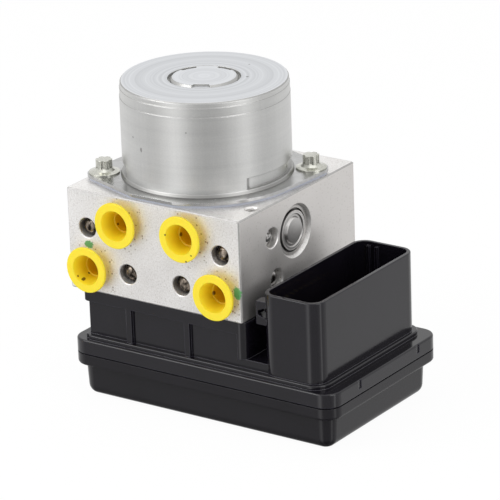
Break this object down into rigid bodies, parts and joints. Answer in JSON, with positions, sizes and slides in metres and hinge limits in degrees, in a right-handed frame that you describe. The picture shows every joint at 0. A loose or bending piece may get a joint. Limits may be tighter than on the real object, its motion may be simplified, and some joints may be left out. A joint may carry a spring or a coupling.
{
  "type": "abs brake module",
  "caption": "Hydraulic brake control unit: motor on a machined valve block with plugged ports, over a black electronics housing with a side connector.",
  "frame": {"origin": "motor axis, on the underside of the electronics cover", "axes": "+Z along the motor axis, from the electronics cover to the motor's cap; -Y out of the face with the four plugged ports; +X towards the connector and a pump plug"},
  "size_m": [0.1148, 0.0784, 0.119],
  "materials": {
    "can_steel": "satin plated",
    "plate_steel": "plated",
    "screw_steel": "zinc plated",
    "dark_steel": "phosphated",
    "bright_steel": "ground",
    "block_aluminium": "machined",
    "gasket_grey": "matt",
    "black_plastic": "satin",
    "cover_plastic": "satin",
    "plug_yellow": "soft",
    "black_rubber": "matt",
    "copper": "enamelled",
    "pin_brass": "tinned",
    "magnet_dark": "sintered",
    "board_green": "lacquered",
    "part_black": "moulded",
    "coil_plastic": "moulded",
    "carbon": "pressed"
  },
  "bodies": {
    "unit": {"motor_can": "can_steel", "bearing_cap": "can_steel", "motor_flange": "plate_steel", "motor_gasket": "gasket_grey", "motor_screws": "screw_steel", "valve_block": "block_aluminium", "ball_plugs": "dark_steel", "port_plug_upper_left": "plug_yellow", "port_plug_upper_right": "plug_yellow", "port_plug_lower_left": "plug_yellow", "port_plug_lower_right": "plug_yellow", "pump_plug_left": "bright_steel", "pump_plug_right": "bright_steel", "pump_spring_left": "bright_steel", "pump_spring_right": "bright_steel", "upper_bearing": "bright_steel", "lower_bearing": "bright_steel", "magnets": "magnet_dark", "brush_holder": "coil_plastic", "brushes": "carbon", "motor_terminals": "pin_brass", "ecu_housing": "black_plastic", "ecu_cover": "cover_plastic", "cover_seal": "black_rubber", "housing_seal": "black_rubber", "housing_screws": "screw_steel", "circuit_board": "board_green", "board_components": "part_black", "connector_pins": "pin_brass", "accumulator_spring_left": "bright_steel", "accumulator_cap_left": "bright_steel", "inlet_valve_left": "bright_steel", "inlet_coil_left": "coil_plastic", "outlet_valve_left": "bright_steel", "outlet_coil_left": "coil_plastic", "accumulator_spring_right": "bright_steel", "accumulator_cap_right": "bright_steel", "inlet_valve_right": "bright_steel", "inlet_coil_right": "coil_plastic", "outlet_valve_right": "bright_steel", "outlet_coil_right": "coil_plastic"},
    "rotor": {"motor_shaft": "bright_steel", "armature_core": "dark_steel", "armature_windings": "copper", "commutator": "copper", "eccentric_bearing": "bright_steel"},
    "pump_piston_left": {"pump_piston_left": "bright_steel"},
    "accumulator_piston_left": {"accumulator_piston_left": "block_aluminium"},
    "inlet_armature_left": {"inlet_armature_left": "dark_steel"},
    "outlet_armature_left": {"outlet_armature_left": "dark_steel"},
    "pump_piston_right": {"pump_piston_right": "bright_steel"},
    "accumulator_piston_right": {"accumulator_piston_right": "block_aluminium"},
    "inlet_armature_right": {"inlet_armature_right": "dark_steel"},
    "outlet_armature_right": {"outlet_armature_right": "dark_steel"}
  },
  "joints": [
    {"name": "rotor_spin", "type": "hinge", "parent": "unit", "child": "rotor", "pos_m": [0, 0, 0.0663], "axis": [0, 0, 1], "continuous": true},
    {"name": "pump_stroke_left", "type": "slide", "parent": "unit", "child": "pump_piston_left", "axis": [-1, 0, 0], "range_m": [0, 0.0015], "stiffness_N_per_m": 800, "deforming": ["pump_spring_left"]},
    {"name": "accumulator_stroke_left", "type": "slide", "parent": "unit", "child": "accumulator_piston_left", "axis": [0, 0, -1], "range_m": [0, 0.003], "stiffness_N_per_m": 1500, "deforming": ["accumulator_spring_left"]},
    {"name": "inlet_stroke_left", "type": "slide", "parent": "unit", "child": "inlet_armature_left", "axis": [0, 0, 1], "range_m": [0, 0.0005]},
    {"name": "outlet_stroke_left", "type": "slide", "parent": "unit", "child": "outlet_armature_left", "axis": [0, 0, -1], "range_m": [0, 0.0005]},
    {"name": "pump_stroke_right", "type": "slide", "parent": "unit", "child": "pump_piston_right", "axis": [1, 0, 0], "range_m": [0, 0.0015], "stiffness_N_per_m": 800, "deforming": ["pump_spring_right"]},
    {"name": "accumulator_stroke_right", "type": "slide", "parent": "unit", "child": "accumulator_piston_right", "axis": [0, 0, -1], "range_m": [0, 0.003], "stiffness_N_per_m": 1500, "deforming": ["accumulator_spring_right"]},
    {"name": "inlet_stroke_right", "type": "slide", "parent": "unit", "child": "inlet_armature_right", "axis": [0, 0, 1], "range_m": [0, 0.0005]},
    {"name": "outlet_stroke_right", "type": "slide", "parent": "unit", "child": "outlet_armature_right", "axis": [0, 0, -1], "range_m": [0, 0.0005]}
  ]
}
